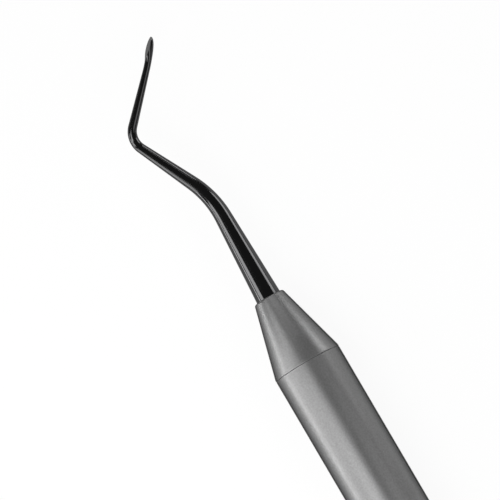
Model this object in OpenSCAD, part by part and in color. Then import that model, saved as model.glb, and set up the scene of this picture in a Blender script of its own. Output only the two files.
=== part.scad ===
// Double-ended hand instrument with a leaf-shaped tip at each end, in millimetres.
// The handle lies along X on the table with its bends flat, and +X is the front end.
// The origin is on the table under the middle of the handle.

/* [Handle] */
// Outside diameter of the handle tube
handle_d = 8; // [7.6:0.1:9]
// Length of the handle tube between its two seams
handle_l = 95; // [80:1:115]
// Wall of the tube outside the bush in each end
socket_wall = 0.7; // [0.6:0.05:0.9]
// Height of the step inside the tube that the bush seats on
socket_step = 0.3; // [0.2:0.05:0.6]
// Small bevel on both edges of a seam
seam_bevel = 0.05; // [0.03:0.01:0.1]

/* [Cone] */
// Length of the cone from the seam to its front face
cone_l = 8.57; // [7.5:0.01:11]
// Width of the cone's front round the shank, before its edge is rounded
cone_rim = 0.33; // [0.3:0.01:0.6]
// Straight land between the seam and the taper
cone_land = 0.24; // [0.1:0.01:1]
// Rounding of the cone's front edge
cone_round = 0.3; // [0.1:0.05:0.35]

/* [Screw joint] */
// Wall of the bush outside its thread
bush_wall = 0.66; // [0.5:0.02:0.9]
// Pitch of the thread, along the handle
thread_pitch = 0.8; // [0.7:0.05:0.9]
// Whole turns that undo the cone
thread_turns = 4; // [3:1:5]
// Radial room between the two threads
thread_room = 0.14; // [0.12:0.01:0.16]
// Width of the plain pilot on each side of the seal's groove
pilot_land = 0.7; // [0.5:0.05:1.2]
// Radial room round the pilot
pilot_room = 0.05; // [0.03:0.01:0.08]
// Thickness of the rubber seal ring
ring_d = 0.7; // [0.5:0.05:0.8]
// Room round the seal ring in its groove
ring_room = 0.05; // [0.03:0.01:0.08]

/* [Working end] */
// Diameter of the shank where it leaves the cone
shank_d = 2.93; // [2.5:0.01:3.3]
// Diameter where the first bend starts
bend_d = 2; // [1.7:0.02:2.3]
// Diameter where the elbow starts
elbow_d = 1.14; // [0.9:0.01:1.4]
// Diameter of the even neck behind the blade
neck_d = 0.77; // [0.6:0.01:0.95]
// Length from the cone to the corner of the first bend
shank_l = 12.88; // [11:0.01:16]
// Length from the corner of the first bend to the corner of the elbow
middle_l = 11.09; // [9:0.01:14]
// Length from the corner of the elbow to the corner of the neck
reach_l = 8.42; // [7:0.01:11]
// Lean of the straight shank off the handle's axis, in degrees
shank_lean = -1.1; // [-3:0.1:1]
// Turn of the first bend, in degrees
bend_angle = 26.5; // [20:0.1:32]
// Radius of the first bend
bend_r = 11.3; // [8:0.1:14]
// Turn back at the elbow, in degrees
elbow_angle = 69.1; // [60:0.1:80]
// Radius of the elbow
elbow_r = 2.34; // [1.8:0.01:3.5]
// Slight turn at the neck, in degrees
neck_angle = 3.4; // [0.5:0.1:10]
// Radius of the turn at the neck
neck_r = 14; // [6:0.5:20]
// Length of the blade
blade_l = 2.96; // [2.4:0.01:3.6]
// Width of the blade's face
blade_w = 0.8; // [0.7:0.01:1.1]
// Length from the neck to the widest place of the face
blade_mid_l = 1.8; // [1.4:0.01:2.2]
// Bow of the face past the side of the neck, at half its length
blade_lift = 0.035; // [0.01:0.005:0.2]
// Fall of the face towards the tip
blade_fall = 0.18; // [0:0.01:0.3]
// Turn of the face out of the plane of the bends, in degrees
blade_tilt = 31; // [0:1:40]
// Diameter of the tang that is held in the cone
tang_d = 2.2; // [1.8:0.05:2.4]
// Length of the tang behind the shank's seat
tang_l = 7.5; // [6:0.1:8]

/* [Hidden] */
$fn = 96;

// Room round a piece that is fixed in its hole for good
fixed_room = 0.02;
// How far a cut reaches past a face, and how far two parts of one piece reach into each other
over = 1;
lap = 0.3;

// Diameters inside the handle
socket_d = handle_d - 2 * socket_wall;
bore_d = socket_d - 2 * socket_step;
thread_d = socket_d - 2 * bush_wall - 2 * thread_room;

// A 60 degree thread: its depth, and the steps round one turn on its crest, each flank and its root
depth_per_pitch = 0.54;
thread_depth = depth_per_pitch * thread_pitch;
crest_steps = 2;
flank_steps = 5;
root_steps = 4;
thread_steps = crest_steps + 2 * flank_steps + root_steps;

// The relief behind the thread is turned a little under the thread's root
root_room = 0.05;
relief_d = thread_d - 2 * thread_depth - 2 * root_room;

// The seal ring and the groove that it lies in
groove_l = ring_d + 2 * ring_room;
ring_r = socket_d / 2 - ring_room - ring_d / 2;
groove_r = ring_r - ring_d / 2 - ring_room;

// Depths behind the seam, along the spigot and its socket
pilot_l = groove_l + 2 * pilot_land;
relief_l = 0.6;
mouth_gap = 0.4;
end_gap = 0.6;
thread_l = (thread_turns + 1) * thread_pitch;
thread_end = pilot_l + relief_l + thread_l;
socket_mouth = pilot_l + mouth_gap;
socket_end = thread_end + end_gap;

// The taper of the cone and the centre of its rounded front edge
cone_r = handle_d / 2;
cone_front_d = shank_d + 2 * cone_rim;
taper = atan((cone_r - cone_front_d / 2) / (cone_l - cone_land));
round_x = cone_l - cone_round;
round_r = cone_r - (cone_round + (round_x - cone_land) * sin(taper)) / cos(taper);

// The shank's seat and the hole for its tang, along X from the seam
seat_depth = 1.2;
tang_end_gap = 0.3;
seat_x = cone_l - seat_depth;
tang_x = seat_x - tang_l;
tang_hole_x = tang_x - tang_end_gap;
drill_point = 0.5;
drill_flat_d = 0.4;

// The centreline of the working end: each stretch is its length and its turn in degrees
bend_corner = bend_r * tan(bend_angle / 2);
elbow_corner = elbow_r * tan(elbow_angle / 2);
neck_corner = neck_r * tan(neck_angle / 2);
stretches = [
    [shank_l - bend_corner, 0],
    [bend_r * bend_angle * PI / 180, bend_angle],
    [middle_l - bend_corner - elbow_corner, 0],
    [elbow_r * elbow_angle * PI / 180, -elbow_angle],
    [reach_l - elbow_corner - neck_corner, 0],
    [neck_r * neck_angle * PI / 180, neck_angle],
    [blade_l, 0],
];
BEND = 1;
ELBOW = 3;
NECK = 5;
BLADE = 6;
tapers = [
    [0, shank_d],
    [distance_to(BEND), bend_d],
    [distance_to(ELBOW), elbow_d],
    [distance_to(NECK), neck_d],
];
// The rings that the working end is drawn with, the last of them just short of the tip's 90 degrees
degrees_per_ring = 5;
blade_rings = 10;
last_ring_angle = 85;
ring_sides = 24;

// Fullness of the blade's back, and the blade's width over its face's width
back_fullness = 4;
swell = 1.01;

// Distance along the centreline to the start of a stretch
function distance_to(i) = i == 0 ? 0 : distance_to(i - 1) + stretches[i - 1][0];

// Place and heading, [x, y, degrees], after a part of a stretch that starts at a place and heading
function walk(from, stretch, part) =
    let (length = stretch[0] * part, turn = stretch[1] * part, heading = from[2])
    turn == 0
        ? from + [length * cos(heading), length * sin(heading), 0]
        : let (r = length * 180 / (PI * turn))
          from + [
              r * (sin(heading + turn) - sin(heading)),
              r * (cos(heading) - cos(heading + turn)),
              turn,
          ];

// Place and heading where a stretch starts
function start_of(i) = i == 0 ? [cone_l, 0, shank_lean] : walk(start_of(i - 1), stretches[i - 1], 1);

// An oval ring of points round a place, cut flat at a height towards the blade's face
// Its half axes are rise across the face and half_w along it, and its middle lies sink below the line
function ring_at(place, rise, half_w, sink, flat) =
    let (
        left = [-sin(place[2]), cos(place[2]), 0],
        up = [0, 0, 1],
        face_out = left * cos(blade_tilt) + up * sin(blade_tilt),
        face_along = up * cos(blade_tilt) - left * sin(blade_tilt)
    )
    [for (i = [0:ring_sides - 1])
        let (angle = 360 * i / ring_sides)
        [place[0], place[1], 0]
            + face_out * min(flat, rise * cos(angle) - sink)
            + face_along * half_w * sin(angle)];

// A round ring of the shank, after a part of a stretch
function shank_ring(i, part) =
    let (r = lookup(distance_to(i) + part * stretches[i][0], tapers) / 2)
    ring_at(walk(start_of(i), stretches[i], part), r, r, 0, r);

// Height of the blade's face over the centreline, from the neck at 0 to the tip at 1
function face_level(part) =
    neck_d / 2 + blade_lift * sin(180 * part) - blade_fall * pow(part, 2);

// Width of the blade's face as a share of its widest, in a slow growth and a round end
function face_share(part) =
    let (mid = blade_mid_l / blade_l)
    part < mid ? sin(90 * part / mid) : sqrt(1 - pow((part - mid) / (1 - mid), 2));

// A ring of the blade, from the neck at 0 to the tip at 1: an oval whose top is ground away to the face
function blade_ring(part) =
    let (
        level = face_level(part),
        depth = (neck_d / 2 + level) * sqrt(1 - pow(part, back_fullness)),
        face_w = blade_w / 2 * face_share(part),
        half_w = part * blade_l < blade_mid_l
            ? neck_d / 2 + (swell * blade_w / 2 - neck_d / 2) * face_share(part)
            : swell * face_w,
        cut = sqrt(1 - pow(face_w / half_w, 2)),
        rise = depth / (1 + cut)
    )
    ring_at(walk(start_of(BLADE), stretches[BLADE], part), rise, half_w, cut * rise - level, level);

// All rings from the seat in the cone to the tip, closer together where the line turns
function working_rings() = concat(
    [ring_at([seat_x, 0, 0], shank_d / 2, shank_d / 2, 0, shank_d / 2)],
    [for (i = [0:BLADE - 1])
        let (steps = max(1, round(abs(stretches[i][1]) / degrees_per_ring)))
        for (k = [0:steps - 1]) shank_ring(i, k / steps)],
    [for (k = [0:blade_rings]) blade_ring(sin(last_ring_angle * k / blade_rings))]
);

// Radius of the thread's outline at a step round one turn, as a share of its depth
function thread_fall(step) =
    step <= crest_steps ? 0
    : step <= crest_steps + flank_steps ? (step - crest_steps) / flank_steps
    : step <= thread_steps - flank_steps ? 1
    : (thread_steps - step) / flank_steps;

// A closed skin over rings of points
module skin(rings) {
    last = len(rings) - 1;
    sides = len(rings[0]);
    points = [for (ring = rings) each ring];
    walls = [for (i = [0:last - 1], j = [0:sides - 1])
        let (
            here = i * sides + j,
            beside = i * sides + (j + 1) % sides
        )
        each [[here, here + sides, beside + sides], [here, beside + sides, beside]]];
    back_end = [for (j = [0:sides - 1]) j];
    front_end = [for (j = [0:sides - 1]) last * sides + sides - 1 - j];
    polyhedron(points = points, faces = concat(walls, [back_end, front_end]));
}

// A solid of revolution about X, from an outline of [radius, place along X]
module turned() {
    rotate([0, 90, 0]) rotate_extrude() children();
}

// A plain rod along X
module rod(d, from, to) {
    translate([from, 0, 0]) rotate([0, 90, 0]) cylinder(d = d, h = to - from);
}

// A right-hand threaded rod along X, in step with every other thread on the same line
module threaded_rod(d, from, to) {
    turns = (to - from) / thread_pitch;
    slices = round(turns * thread_steps);
    translate([from, 0, 0])
        rotate([0, 90, 0])
            rotate([0, 0, 360 * from / thread_pitch])
                linear_extrude(to - from, twist = -360 * turns, slices = slices, $fn = 0)
                    polygon([for (i = [0:thread_steps - 1])
                        let (angle = 360 * i / thread_steps)
                        (d / 2 - thread_depth * thread_fall(i)) * [cos(angle), sin(angle)]]);
}

// The frame of each end: X points out of the handle from the seam
module at_front() {
    translate([handle_l / 2, 0, handle_d / 2]) children();
}

module at_rear() {
    translate([-handle_l / 2, 0, handle_d / 2]) rotate([0, 0, 180]) children();
}

// Bush with a thread right through, seated on the step inside the tube
module socket() {
    bush_d = socket_d - 2 * fixed_room;
    lead_in = thread_depth + thread_room;
    hole_d = thread_d + 2 * thread_room;
    difference() {
        rod(bush_d, -socket_end, -socket_mouth);
        threaded_rod(hole_d, -socket_end - thread_pitch, -socket_mouth + thread_pitch);
        turned() polygon([
            [0, -socket_mouth - lead_in],
            [hole_d / 2 - lead_in, -socket_mouth - lead_in],
            [hole_d / 2, -socket_mouth],
            [hole_d / 2, -socket_mouth + over],
            [0, -socket_mouth + over],
        ]);
    }
}

// Rubber ring in the groove of the pilot
module seal_ring() {
    turned() translate([ring_r, -pilot_l / 2]) circle(d = ring_d);
}

// Nose cone in one piece with its grooved pilot and threaded spigot
module cone() {
    pilot_r = socket_d / 2 - pilot_room;
    difference() {
        union() {
            turned() {
                polygon([
                    [0, 0],
                    [cone_r - seam_bevel, 0],
                    [cone_r, seam_bevel],
                    [cone_r, cone_land],
                    [round_r + cone_round * cos(taper), round_x + cone_round * sin(taper)],
                    [round_r, round_x],
                    [round_r, cone_l],
                    [0, cone_l],
                ]);
                translate([round_r, round_x]) circle(r = cone_round);
            }
            rod(2 * pilot_r, -pilot_l, 0);
            rod(relief_d, -pilot_l - relief_l - lap, 0);
            intersection() {
                threaded_rod(thread_d, -thread_end, -pilot_l - relief_l);
                turned() polygon([
                    [0, -thread_end],
                    [relief_d / 2, -thread_end],
                    [thread_d / 2 + root_room, -thread_end + thread_depth],
                    [thread_d / 2 + root_room, -pilot_l - relief_l],
                    [0, -pilot_l - relief_l],
                ]);
            }
        }
        turned() translate([groove_r, -pilot_l / 2 - groove_l / 2]) square([cone_r, groove_l]);
        rod(shank_d + 2 * fixed_room, seat_x, cone_l + over);
        rod(tang_d + 2 * fixed_room, tang_hole_x, cone_l);
        turned() polygon([
            [0, tang_hole_x - drill_point],
            [drill_flat_d / 2, tang_hole_x - drill_point],
            [tang_d / 2 + fixed_room, tang_hole_x],
            [0, tang_hole_x],
        ]);
    }
}

// Bent and tapered shank with its blade, in one piece with its tang
module working_end() {
    rod(tang_d, tang_x, seat_x + lap);
    skin(working_rings());
}

module handle_tube() {
    length = handle_l / 2;
    color([0.68, 0.68, 0.68])
        translate([0, 0, handle_d / 2])
            turned() polygon([
                [bore_d / 2, -length + socket_end],
                [socket_d / 2, -length + socket_end],
                [socket_d / 2, -length],
                [handle_d / 2 - seam_bevel, -length],
                [handle_d / 2, -length + seam_bevel],
                [handle_d / 2, length - seam_bevel],
                [handle_d / 2 - seam_bevel, length],
                [socket_d / 2, length],
                [socket_d / 2, length - socket_end],
                [bore_d / 2, length - socket_end],
            ]);
}

module front_socket() {
    color([0.55, 0.55, 0.56]) at_front() socket();
}

module rear_socket() {
    color([0.55, 0.55, 0.56]) at_rear() socket();
}

module front_seal_ring() {
    color([0.1, 0.1, 0.1]) at_front() seal_ring();
}

module rear_seal_ring() {
    color([0.1, 0.1, 0.1]) at_rear() seal_ring();
}

module front_cone() {
    color([0.66, 0.66, 0.66]) at_front() cone();
}

module rear_cone() {
    color([0.66, 0.66, 0.66]) at_rear() cone();
}

module front_working_end() {
    color([0.08, 0.08, 0.08]) at_front() working_end();
}

// The other hand of the pair
module rear_working_end() {
    color([0.08, 0.08, 0.08]) at_rear() mirror([0, 0, 1]) working_end();
}

handle_tube();
front_socket();
rear_socket();
front_seal_ring();
rear_seal_ring();
front_cone();
rear_cone();
front_working_end();
rear_working_end();
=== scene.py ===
import math

import bmesh
import bpy
import numpy
from mathutils import Matrix, Vector


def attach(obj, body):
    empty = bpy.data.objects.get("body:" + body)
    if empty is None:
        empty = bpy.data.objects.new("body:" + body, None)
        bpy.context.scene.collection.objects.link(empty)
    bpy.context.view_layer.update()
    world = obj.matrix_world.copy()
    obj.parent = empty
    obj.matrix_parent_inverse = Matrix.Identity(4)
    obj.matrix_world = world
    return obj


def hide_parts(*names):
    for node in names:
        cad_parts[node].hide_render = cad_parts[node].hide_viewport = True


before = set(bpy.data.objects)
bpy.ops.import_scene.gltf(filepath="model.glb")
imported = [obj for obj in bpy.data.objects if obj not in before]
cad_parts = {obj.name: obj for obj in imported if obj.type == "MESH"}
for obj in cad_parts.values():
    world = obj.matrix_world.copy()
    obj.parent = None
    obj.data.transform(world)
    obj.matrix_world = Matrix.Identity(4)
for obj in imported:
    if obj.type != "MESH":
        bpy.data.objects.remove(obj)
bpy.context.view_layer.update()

# Handle: a length of drawn stainless tube, bored out at each end for a threaded bush.
# Its outside is blasted with fine glass beads to an even satin, and the edges of its two ends
# are broken by a bevel, so that a hairline groove shows where a cone is screwed home.
MM = 0.001
HANDLE_R = 4.0
HANDLE_L = 95.0
SOCKET_R = 3.3
BORE_R = 3.0
SOCKET_END = 7.4
SEAM_BEVEL = 0.05
ROUND_STEPS = 128
MERGE_GAP = 0.001
SHARP_ANGLE = math.radians(30)


def turned(outline, closed=False):
    """A body turned about X from an outline of (place along X, radius), in millimetres."""
    body = bmesh.new()
    points = [body.verts.new((x, 0, r)) for x, r in outline]
    for here, there in zip(points, points[1:] + points[:1] if closed else points[1:]):
        body.edges.new((here, there))
    bmesh.ops.spin(
        body,
        geom=body.verts[:] + body.edges[:],
        axis=(1, 0, 0),
        angle=math.tau,
        steps=ROUND_STEPS,
        use_merge=True,
    )
    bmesh.ops.remove_doubles(body, verts=body.verts, dist=MERGE_GAP)
    bmesh.ops.recalc_face_normals(body, faces=body.faces)
    return body


def set_in_place(name, body, place, material):
    """Makes a piece of a body that was shaped in millimetres, with its place in its mesh."""
    bmesh.ops.transform(body, matrix=Matrix.Scale(MM, 4) @ place, verts=body.verts)
    if place.determinant() < 0:
        bmesh.ops.reverse_faces(body, faces=body.faces)
    mesh = bpy.data.meshes.new(name)
    body.to_mesh(mesh)
    body.free()
    mesh.shade_smooth()
    mesh.set_sharp_from_angle(angle=SHARP_ANGLE)
    mesh.materials.append(material)
    piece = bpy.data.objects.new(name, mesh)
    bpy.context.scene.collection.objects.link(piece)
    return piece


def linear(hex_colour):
    """An sRGB hex colour as linear RGBA."""
    parts = [int(hex_colour[i:i + 2], 16) / 255 for i in (1, 3, 5)]
    return [c / 12.92 if c <= 0.04045 else ((c + 0.055) / 1.055) ** 2.4 for c in parts] + [1.0]


def add(tree, kind, sockets=None, **settings):
    """Adds a shader node: a socket given another node's output is linked, and any other is set."""
    made = tree.nodes.new("ShaderNode" + kind)
    for name, value in settings.items():
        setattr(made, name, value)
    for name, value in (sockets or {}).items():
        if isinstance(value, bpy.types.NodeSocket):
            tree.links.new(value, made.inputs[name])
        else:
            made.inputs[name].default_value = value
    return made


# Stainless steel blasted with glass beads: a dull even grey with broad soft reflections.
# The dimples are about 0.05 mm wide, drawn at 0.2 mm so that they show, and their pits are painted
# darker as shade.
# The pits shade each other at a glancing view, which the dark specular tint gives. The edges of
# the seams are rubbed a little lighter.
GRAIN_SIZE = 0.2
GRAIN_DEPTH = 0.0022
CLOUD_SIZE = 2.5
RUBBED_W = 0.16
satin_steel = bpy.data.materials.new("Bead-blasted stainless steel")
satin_steel.use_nodes = True
tree = satin_steel.node_tree
tree.nodes.clear()
spot = add(tree, "TexCoord").outputs["Object"]
grain = add(tree, "TexNoise", {"Vector": spot, "Scale": 1 / (GRAIN_SIZE * MM), "Detail": 3.0})
cloud = add(tree, "TexNoise", {"Vector": spot, "Scale": 1 / (CLOUD_SIZE * MM), "Detail": 2.0})
along = add(tree, "SeparateXYZ", {"Vector": spot}).outputs["X"]
from_middle = add(tree, "Math", {0: along}, operation="ABSOLUTE")
from_seam = add(
    tree, "Math", {0: from_middle.outputs[0], 1: HANDLE_L / 2 * MM}, operation="SUBTRACT"
)
seam_gap = add(tree, "Math", {0: from_seam.outputs[0]}, operation="ABSOLUTE")
rubbed = add(
    tree,
    "MapRange",
    {"Value": seam_gap.outputs[0], "From Max": RUBBED_W * MM, "To Min": 1.0, "To Max": 0.0},
)
# Base colour follows the dimple grain: each pit is painted darker, as painted shade in the recess.
pit_shaded_tone = add(
    tree,
    "Mix",
    {0: grain.outputs["Fac"], 6: linear("#6E6E6E"), 7: linear("#8C8C8C")},
    data_type="RGBA",
)
# The rubbed seam edges are lighter; elsewhere the pits keep their painted shade.
worn_and_pit_shaded_tone = add(
    tree, "Mix", {0: rubbed.outputs[0], 6: pit_shaded_tone.outputs[2], 7: linear("#8C8C8C")}, data_type="RGBA"
)
dullness = add(
    tree, "MapRange", {"Value": cloud.outputs["Fac"], "To Min": 0.36, "To Max": 0.44}
)
dimples = add(
    tree, "Bump", {"Height": grain.outputs["Fac"], "Strength": 1.0, "Distance": GRAIN_DEPTH * MM}
)
shader = add(tree, "BsdfPrincipled", {
    "Base Color": worn_and_pit_shaded_tone.outputs[2],
    "Metallic": 1.0,
    "Roughness": dullness.outputs[0],
    "Specular Tint": linear("#101010"),
    "Normal": dimples.outputs[0],
})
add(tree, "OutputMaterial", {"Surface": shader.outputs[0]})

half_l = HANDLE_L / 2
handle = set_in_place(
    "satin_handle_tube",
    turned(
        [
            (-half_l + SOCKET_END, BORE_R),
            (-half_l + SOCKET_END, SOCKET_R),
            (-half_l, SOCKET_R),
            (-half_l, HANDLE_R - SEAM_BEVEL),
            (-half_l + SEAM_BEVEL, HANDLE_R),
            (half_l - SEAM_BEVEL, HANDLE_R),
            (half_l, HANDLE_R - SEAM_BEVEL),
            (half_l, SOCKET_R),
            (half_l - SOCKET_END, SOCKET_R),
            (half_l - SOCKET_END, BORE_R),
        ],
        closed=True,
    ),
    Matrix.Translation((0, 0, HANDLE_R)),
    satin_steel,
)
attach(handle, "handle")
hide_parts("handle_tube")

# Bushes: two short stainless sleeves, tapped right through and fixed inside the ends of the tube.
# They are turned on a lathe and left bright, with the fine rings that the tool leaves.
# Bare bright metal: its fine rings run round it and break the highlights into thin lines.
TOOL_MARK = 0.12
TOOL_MARK_DEPTH = 0.002
WAVE_BAND = math.tau / 20  # width of one band of a wave texture at a scale of 1
SMEAR_SIZE = 1.5
turned_steel = bpy.data.materials.new("Turned stainless steel")
turned_steel.use_nodes = True
tree = turned_steel.node_tree
tree.nodes.clear()
spot = add(tree, "TexCoord").outputs["Object"]
rings = add(
    tree,
    "TexWave",
    {"Vector": spot, "Scale": WAVE_BAND / (TOOL_MARK * MM), "Distortion": 0.6, "Detail": 1.0},
    bands_direction="X",
)
smear = add(tree, "TexNoise", {"Vector": spot, "Scale": 1 / (SMEAR_SIZE * MM), "Detail": 2.0})
bright = add(
    tree,
    "Mix",
    {0: smear.outputs["Fac"], 6: linear("#8F8F90"), 7: linear("#A6A6A8")},
    data_type="RGBA",
)
polish = add(tree, "MapRange", {"Value": smear.outputs["Fac"], "To Min": 0.22, "To Max": 0.36})
ridges = add(
    tree,
    "Bump",
    {"Height": rings.outputs["Fac"], "Strength": 1.0, "Distance": TOOL_MARK_DEPTH * MM},
)
shader = add(tree, "BsdfPrincipled", {
    "Base Color": bright.outputs[2],
    "Metallic": 1.0,
    "Roughness": polish.outputs[0],
    "Normal": ridges.outputs[0],
})
add(tree, "OutputMaterial", {"Surface": shader.outputs[0]})
for node in ("front_socket", "rear_socket"):
    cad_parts[node].data.materials.clear()
    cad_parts[node].data.materials.append(turned_steel)

# Seals: two small O-rings of black nitrile rubber, moulded, each stretched over the spigot of a
# cone into its groove, where it keeps the hollow handle dry.
# Black rubber: a dark skin with soft dull highlights and a faint uneven bloom.
BLOOM_SIZE = 0.3
BLOOM_DEPTH = 0.003
nitrile = bpy.data.materials.new("Moulded nitrile rubber")
nitrile.use_nodes = True
tree = nitrile.node_tree
tree.nodes.clear()
spot = add(tree, "TexCoord").outputs["Object"]
bloom = add(tree, "TexNoise", {"Vector": spot, "Scale": 1 / (BLOOM_SIZE * MM), "Detail": 3.0})
soot = add(
    tree,
    "Mix",
    {0: bloom.outputs["Fac"], 6: linear("#141414"), 7: linear("#242423")},
    data_type="RGBA",
)
dusty = add(tree, "MapRange", {"Value": bloom.outputs["Fac"], "To Min": 0.45, "To Max": 0.65})
skin = add(
    tree, "Bump", {"Height": bloom.outputs["Fac"], "Strength": 1.0, "Distance": BLOOM_DEPTH * MM}
)
shader = add(tree, "BsdfPrincipled", {
    "Base Color": soot.outputs[2],
    "Roughness": dusty.outputs[0],
    "Normal": skin.outputs[0],
})
add(tree, "OutputMaterial", {"Surface": shader.outputs[0]})
for node in ("front_seal_ring", "rear_seal_ring"):
    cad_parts[node].data.materials.clear()
    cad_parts[node].data.materials.append(nitrile)

# Nose cones: each is turned from one bar with its grooved pilot and threaded spigot, drilled for
# the shank and blasted like the tube. It screws into the bush until its shoulder meets the tube.
CONE_L = 8.57
CONE_LAND = 0.24
CONE_FRONT_R = 1.795
CONE_ROUND = 0.3
PILOT_L = 2.2
PILOT_R = 3.25
GROOVE_L = 0.8
GROOVE_R = 2.5
RELIEF_L = 0.6
RELIEF_R = 2.018
THREAD_END = 6.8
THREAD_R = 2.5
THREAD_PITCH = 0.8
THREAD_DEPTH = 0.432
THREAD_CREST = 0.1
THREAD_ROOT = 0.2
THREAD_SUNK = 0.06
THREAD_PHASE = math.radians(22.5)
THREAD_STEPS = 48
SHANK_R = 1.465
FIXED_ROOM = 0.02
MOUTH_BEVEL = 0.05
SEAT_X = 7.37
TANG_R = 1.1
TANG_X = -0.13
TANG_HOLE_X = -0.43
ends = {
    "front": Matrix.Translation((HANDLE_L / 2, 0, HANDLE_R)),
    "rear": Matrix.Translation((-HANDLE_L / 2, 0, HANDLE_R)) @ Matrix.Rotation(math.pi, 4, "Z"),
}


def nose_cone():
    """A cone with its spigot, from the bottom of the tang's hole round to the spigot's end."""
    slope = math.atan((HANDLE_R - CONE_FRONT_R) / (CONE_L - CONE_LAND))
    round_x = CONE_L - CONE_ROUND
    round_r = HANDLE_R - (CONE_ROUND + (round_x - CONE_LAND) * math.sin(slope)) / math.cos(slope)
    turns = [math.radians(a) for a in range(90, int(math.degrees(slope)), -10)] + [slope]
    nose = [(round_x + CONE_ROUND * math.sin(a), round_r + CONE_ROUND * math.cos(a)) for a in turns]
    groove_x = PILOT_L / 2 - GROOVE_L / 2
    root_r = THREAD_R - THREAD_DEPTH
    return turned([
        (TANG_HOLE_X, 0),
        (TANG_HOLE_X, TANG_R + FIXED_ROOM),
        (SEAT_X, TANG_R + FIXED_ROOM),
        (SEAT_X, SHANK_R + FIXED_ROOM),
        (CONE_L - MOUTH_BEVEL, SHANK_R + FIXED_ROOM),
        (CONE_L, SHANK_R + FIXED_ROOM + MOUTH_BEVEL),
        *nose,
        (CONE_LAND, HANDLE_R),
        (SEAM_BEVEL, HANDLE_R),
        (0, HANDLE_R - SEAM_BEVEL),
        (0, PILOT_R),
        (-groove_x, PILOT_R),
        (-groove_x, GROOVE_R),
        (-groove_x - GROOVE_L, GROOVE_R),
        (-groove_x - GROOVE_L, PILOT_R),
        (-PILOT_L, PILOT_R),
        (-PILOT_L, RELIEF_R),
        (-PILOT_L - RELIEF_L, RELIEF_R),
        (-PILOT_L - RELIEF_L, root_r),
        (-THREAD_END, root_r),
        (-THREAD_END, 0),
    ])


def thread_ridge():
    """The thread's ridge, wound on the spigot's core and closed flat at both of its ends."""
    ridge = bmesh.new()
    root_r = THREAD_R - THREAD_DEPTH
    base = (THREAD_PITCH - THREAD_ROOT) / 2
    start_x = -THREAD_END + base
    turns = (THREAD_END - PILOT_L - RELIEF_L - 2 * base) / THREAD_PITCH
    steps = round(turns * THREAD_STEPS)
    foot_r = root_r - THREAD_SUNK
    section = [
        (-base, foot_r),
        (-THREAD_CREST / 2, THREAD_R),
        (THREAD_CREST / 2, THREAD_R),
        (base, foot_r),
    ]
    points = [ridge.verts.new((start_x + x, 0, -r)) for x, r in section]
    loop = [ridge.edges.new((a, b)) for a, b in zip(points, points[1:] + points[:1])]
    first_angle = THREAD_PHASE + math.tau * start_x / THREAD_PITCH
    bmesh.ops.rotate(ridge, verts=points, matrix=Matrix.Rotation(first_angle, 3, "X"))
    bmesh.ops.spin(
        ridge,
        geom=points + loop,
        axis=(1, 0, 0),
        dvec=(turns * THREAD_PITCH / steps, 0, 0),
        angle=turns * math.tau,
        steps=steps,
    )
    bmesh.ops.holes_fill(ridge, edges=ridge.edges)
    bmesh.ops.recalc_face_normals(ridge, faces=ridge.faces)
    return ridge


for end, place in ends.items():
    body = nose_cone()
    ridge_mesh = bpy.data.meshes.new("thread ridge")
    ridge = thread_ridge()
    ridge.to_mesh(ridge_mesh)
    ridge.free()
    body.from_mesh(ridge_mesh)
    bpy.data.meshes.remove(ridge_mesh)
    cone = set_in_place(end + "_nose_cone", body, place, satin_steel)
    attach(cone, end + "_tip")
    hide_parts(end + "_cone")

# Working ends: each is one forged and ground steel shank, bent twice in one plane and tapered to
# a small leaf with a flat ground face. Its tang is fixed in the cone for good. It is polished and
# coated with a thin black hard nitride film. The rear one is the mirror image of the front one.
BEND_D, ELBOW_D, NECK_D = 2.0, 1.14, 0.77
SHANK_L, MIDDLE_L, REACH_L = 12.88, 11.09, 8.42
SHANK_LEAN = -1.1
BEND_ANGLE, BEND_R = 26.5, 11.3
ELBOW_ANGLE, ELBOW_R = 69.1, 2.34
NECK_ANGLE, NECK_R = 3.4, 14.0
BLADE_L, BLADE_W, BLADE_MID_L = 2.96, 0.8, 1.8
BLADE_LIFT, BLADE_FALL, BLADE_TILT = 0.035, 0.18, 31.0
BACK_FULLNESS = 4.0
SWELL = 1.01
FACE_SIDES, BACK_SIDES = 10, 38
FACE_SPREAD = 18.0
RING_GAP = 1.0
RING_TURN = math.radians(2.5)
BLADE_RINGS = 36
LAST_RING = math.radians(85)
# The rings keep this far inside the CAD's, whose sides are flat between their corners
RING_INSET = 0.007
# Share of the leaf's length after which the sides kept for its face are coloured as ground
GROUND_FROM = 0.12


def next_ring(body, ring):
    """Draws a ring of the shank out once more, and gives the new ring in the same order."""
    edges = [body.edges.get(pair) for pair in zip(ring, ring[1:] + ring[:1])]
    grown = bmesh.ops.extrude_edge_only(body, edges=edges)["geom"]
    fresh = {part for part in grown if isinstance(part, bmesh.types.BMVert)}
    return [
        next(edge.other_vert(vert) for edge in vert.link_edges if edge.other_vert(vert) in fresh)
        for vert in ring
    ]


def shape_ring(ring, at, heading, rise, half_w, sink=0.0, level=math.inf):
    """Makes a ring an oval round a place on the shank's line, cut flat at the level of the face."""
    rise = rise - RING_INSET
    half_w = half_w - RING_INSET
    left = Vector((-math.sin(heading), math.cos(heading), 0))
    up = Vector((0, 0, 1))
    tilt = math.radians(BLADE_TILT)
    face_out = left * math.cos(tilt) + up * math.sin(tilt)
    face_along = up * math.cos(tilt) - left * math.sin(tilt)
    corner = max(math.radians(FACE_SPREAD), math.acos(min(1.0, (level + sink) / rise)))
    for i, vert in enumerate(ring):
        on_face = i <= FACE_SIDES
        if on_face:
            angle = corner * (2 * i / FACE_SIDES - 1)
        else:
            angle = corner + (math.tau - 2 * corner) * (i - FACE_SIDES) / BACK_SIDES
        out = rise * math.cos(angle) - sink
        out = min(out, level) if on_face else out
        vert.co = at + face_out * out + face_along * (half_w * math.sin(angle))


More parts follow.
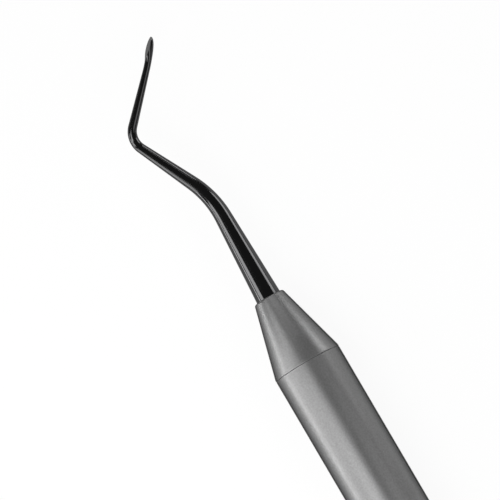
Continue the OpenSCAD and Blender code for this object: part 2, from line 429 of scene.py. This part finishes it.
def blade_oval(part):
    """Half axes, sink and face level of the blade, from the neck at 0 to the tip at 1."""
    neck_r = NECK_D / 2
    level = neck_r + BLADE_LIFT * math.sin(math.pi * part) - BLADE_FALL * part ** 2
    depth = (neck_r + level) * math.sqrt(1 - part ** BACK_FULLNESS)
    mid = BLADE_MID_L / BLADE_L
    if part < mid:
        share = math.sin(math.pi / 2 * part / mid)
        half_w = neck_r + (SWELL * BLADE_W / 2 - neck_r) * share
    else:
        share = math.sqrt(1 - ((part - mid) / (1 - mid)) ** 2)
        half_w = SWELL * BLADE_W / 2 * share
    face_w = BLADE_W / 2 * share
    cut = math.sqrt(1 - (face_w / half_w) ** 2)
    rise = depth / (1 + cut)
    return rise, half_w, cut * rise - level, level


def walk(at, heading, length, turn):
    """Place and heading after a run of the line that is straight or turns evenly."""
    if turn == 0:
        return at + Vector((math.cos(heading), math.sin(heading), 0)) * length, heading
    after = heading + turn
    step = Vector((math.sin(after) - math.sin(heading), math.cos(heading) - math.cos(after), 0))
    return at + step * (length / turn), after


def working_end():
    """A shank drawn out ring by ring from the end of its tang to the tip of its blade."""
    bend, elbow, neck = (math.radians(a) for a in (BEND_ANGLE, -ELBOW_ANGLE, NECK_ANGLE))
    bend_cut = BEND_R * math.tan(abs(bend) / 2)
    elbow_cut = ELBOW_R * math.tan(abs(elbow) / 2)
    neck_cut = NECK_R * math.tan(abs(neck) / 2)
    runs = [
        (SHANK_L - bend_cut, 0),
        (BEND_R * abs(bend), bend),
        (MIDDLE_L - bend_cut - elbow_cut, 0),
        (ELBOW_R * abs(elbow), elbow),
        (REACH_L - elbow_cut - neck_cut, 0),
        (NECK_R * abs(neck), neck),
    ]
    starts = numpy.cumsum([0] + [length for length, _ in runs])
    taper_at = starts[[0, 1, 3, 5]]
    taper_d = (2 * SHANK_R, BEND_D, ELBOW_D, NECK_D)
    body = bmesh.new()
    ground = body.faces.layers.float.new("ground")
    sides = FACE_SIDES + BACK_SIDES
    ring = bmesh.ops.create_circle(body, cap_ends=True, segments=sides, radius=TANG_R)["verts"]
    shape_ring(ring, Vector((TANG_X, 0, 0)), 0, TANG_R, TANG_R)
    for r in (TANG_R, SHANK_R):
        ring = next_ring(body, ring)
        shape_ring(ring, Vector((SEAT_X, 0, 0)), 0, r, r)
    at, heading = Vector((CONE_L, 0, 0)), math.radians(SHANK_LEAN)
    for (length, turn), start in zip(runs, starts):
        steps = max(round(length / RING_GAP), math.ceil(abs(turn) / RING_TURN))
        for part in numpy.arange(steps) / steps:
            place, way = walk(at, heading, length * part, turn * part)
            d = numpy.interp(start + length * part, taper_at, taper_d)
            ring = next_ring(body, ring)
            shape_ring(ring, place, way, d / 2, d / 2)
        at, heading = walk(at, heading, length, turn)
    for part in numpy.sin(numpy.linspace(0, LAST_RING, BLADE_RINGS)):
        ring = next_ring(body, ring)
        shape_ring(ring, walk(at, heading, BLADE_L * part, 0)[0], heading, *blade_oval(part))
        if part > GROUND_FROM:
            for pair in zip(ring[:FACE_SIDES], ring[1:]):
                body.edges.get(pair).link_faces[0][ground] = 1.0
    rim = [body.edges.get(pair) for pair in zip(ring, ring[1:] + ring[:1])]
    bmesh.ops.contextual_create(body, geom=rim)
    bmesh.ops.recalc_face_normals(body, faces=body.faces)
    return body


# A black film of aluminium titanium nitride on polished steel: a dark metal, which mirrors the
# studio clearly but faintly and stays dark along its edges. Polishing leaves it a little uneven,
# drawn at 0.4 mm so that it shows. The ground face of the leaf is a lighter grey.
POLISH_SIZE = 0.4
POLISH_DEPTH = 0.0002
PATCH_SIZE = 2.0
black_coat = bpy.data.materials.new("Black nitride coating")
black_coat.use_nodes = True
tree = black_coat.node_tree
tree.nodes.clear()
spot = add(tree, "TexCoord").outputs["Object"]
uneven = add(tree, "TexNoise", {"Vector": spot, "Scale": 1 / (POLISH_SIZE * MM), "Detail": 3.0})
patchy = add(tree, "TexNoise", {"Vector": spot, "Scale": 1 / (PATCH_SIZE * MM), "Detail": 2.0})
depth = add(
    tree,
    "Mix",
    {0: patchy.outputs["Fac"], 6: linear("#464646"), 7: linear("#4C4C4D")},
    data_type="RGBA",
)
ground = add(tree, "Attribute", attribute_name="ground").outputs["Fac"]
film = add(tree, "Mix", {0: ground, 6: depth.outputs[2], 7: linear("#686868")}, data_type="RGBA")
gloss = add(tree, "MapRange", {"Value": patchy.outputs["Fac"], "To Min": 0.08, "To Max": 0.14})
ripple = add(
    tree, "Bump", {"Height": uneven.outputs["Fac"], "Strength": 1.0, "Distance": POLISH_DEPTH * MM}
)
shader = add(tree, "BsdfPrincipled", {
    "Base Color": film.outputs[2],
    "Roughness": gloss.outputs[0],
    "Metallic": 1.0,
    "Specular Tint": linear("#C4C4C4"),
    "Normal": ripple.outputs[0],
})
add(tree, "OutputMaterial", {"Surface": shader.outputs[0]})
for end, place in ends.items():
    hand = Matrix.Diagonal((1, 1, 1 if end == "front" else -1, 1))
    tip = set_in_place(end + "_leaf_tip", working_end(), place @ hand, black_coat)
    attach(tip, end + "_tip")
    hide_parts(end + "_working_end")

# Table: a plain white sheet that the instrument lies on. It shows white to the camera and in
# reflections, and keeps a part of its own shading, so that the shadow stays on it.
TABLE_W = 6000.0
TABLE_GAP = 0.01
WHITE_SHARE = 0.92
table_body = bmesh.new()
bmesh.ops.create_grid(table_body, x_segments=1, y_segments=1, size=TABLE_W / 2)
white_sheet = bpy.data.materials.new("White card")
white_sheet.use_nodes = True
tree = white_sheet.node_tree
tree.nodes.clear()
rays = add(tree, "LightPath").outputs
seen = add(tree, "Math", {0: rays["Is Camera Ray"], 1: rays["Is Glossy Ray"]}, operation="MAXIMUM")
seen = add(tree, "Math", {0: seen.outputs[0], 1: rays["Is Transmission Ray"]}, operation="MAXIMUM")
share = add(tree, "Math", {0: seen.outputs[0], 1: WHITE_SHARE}, operation="MULTIPLY")
card = add(tree, "BsdfDiffuse", {"Color": linear("#EFEFEF")})
glow = add(tree, "Emission", {"Color": linear("#FFFFFF"), "Strength": 1.0})
both = add(tree, "MixShader", {0: share.outputs[0], 1: card.outputs[0], 2: glow.outputs[0]})
add(tree, "OutputMaterial", {"Surface": both.outputs[0]})
table = set_in_place("table", table_body, Matrix.Translation((0, 0, -TABLE_GAP)), white_sheet)


# Light: softboxes along the instrument and beyond its two ends, with their places given round the
# handle's line, in degrees from straight up towards the photo's left. Between them the studio is
# dim, so that the black coating stays dark.
def softbox(name, angle, width, distance, start, end, radiance):
    """A box light along the handle's line, facing it, with the brightness that a mirror shows.

    An area light's brightness is its energy over four times its area.
    """
    lamp = bpy.data.lights.new(name, "AREA")
    lamp.shape = "RECTANGLE"
    lamp.size = (end - start) * MM
    lamp.size_y = 2 * distance * math.tan(math.radians(width / 2)) * MM
    lamp.energy = 4 * lamp.size * lamp.size_y * radiance
    turn = math.radians(angle)
    box = bpy.data.objects.new(name, lamp)
    box.location = Vector((
        (start + end) / 2,
        distance * math.sin(turn),
        HANDLE_R + distance * math.cos(turn),
    )) * MM
    box.rotation_euler = (-turn, 0, 0)
    box.visible_camera = False
    bpy.context.scene.collection.objects.link(box)


softbox("low left strip", angle=86, width=8, distance=300, start=16, end=260, radiance=6.3)
softbox("low rear left strip", angle=86, width=8, distance=300, start=-200, end=14, radiance=3.6)
softbox("rear left box", angle=70, width=32, distance=300, start=-200, end=30, radiance=2.0)
softbox("front left box", angle=59, width=28, distance=300, start=74, end=160, radiance=3.2)
softbox("right strip", angle=-74, width=22, distance=300, start=88, end=191, radiance=3.0)
softbox("far right strip", angle=-74, width=14, distance=300, start=262, end=304, radiance=3.8)
softbox("over the handle", angle=25, width=38, distance=140, start=-80, end=52, radiance=2.85)
softbox("right of the handle", angle=-36, width=36, distance=140, start=-80, end=52, radiance=0.9)
softbox("over the cone", angle=34, width=28, distance=140, start=104, end=136, radiance=3.3)
softbox("cone fill", angle=-20, width=52, distance=300, start=248, end=330, radiance=1.9)
softbox("rear end box", angle=0, width=100, distance=300, start=-800, end=-250, radiance=1.3)
softbox("front end box", angle=0, width=100, distance=300, start=500, end=1000, radiance=1.3)
world = bpy.data.worlds.new("Dim studio")
world.use_nodes = True
world.node_tree.nodes["Background"].inputs["Color"].default_value = linear("#555555")
bpy.context.scene.world = world

# Camera: a long lens above the front end, turned so that the handle leaves the picture at its
# lower right. It leans back over the handle a little, as the bow of the photo's seam shows.
VIEW_W = 55.28
VIEW_AT = (61.67, -0.88)
VIEW_TURN = math.radians(-120.368)
VIEW_LEAN = math.radians(5.5)
CAMERA_FAR = 1000.0
camera_data = bpy.data.cameras.new("camera")
camera_data.sensor_width = 36
camera_data.lens = camera_data.sensor_width * CAMERA_FAR / VIEW_W
camera_data.clip_end = 20 * CAMERA_FAR * MM
camera = bpy.data.objects.new("camera", camera_data)
aim = Matrix.Translation(Vector((*VIEW_AT, HANDLE_R)) * MM)
swing = Matrix.Rotation(-VIEW_LEAN, 4, "Y") @ Matrix.Rotation(VIEW_TURN, 4, "Z")
camera.matrix_world = aim @ swing @ Matrix.Translation((0, 0, CAMERA_FAR * MM))
bpy.context.scene.collection.objects.link(camera)
bpy.context.scene.camera = camera
bpy.context.scene.view_settings.view_transform = "Standard"
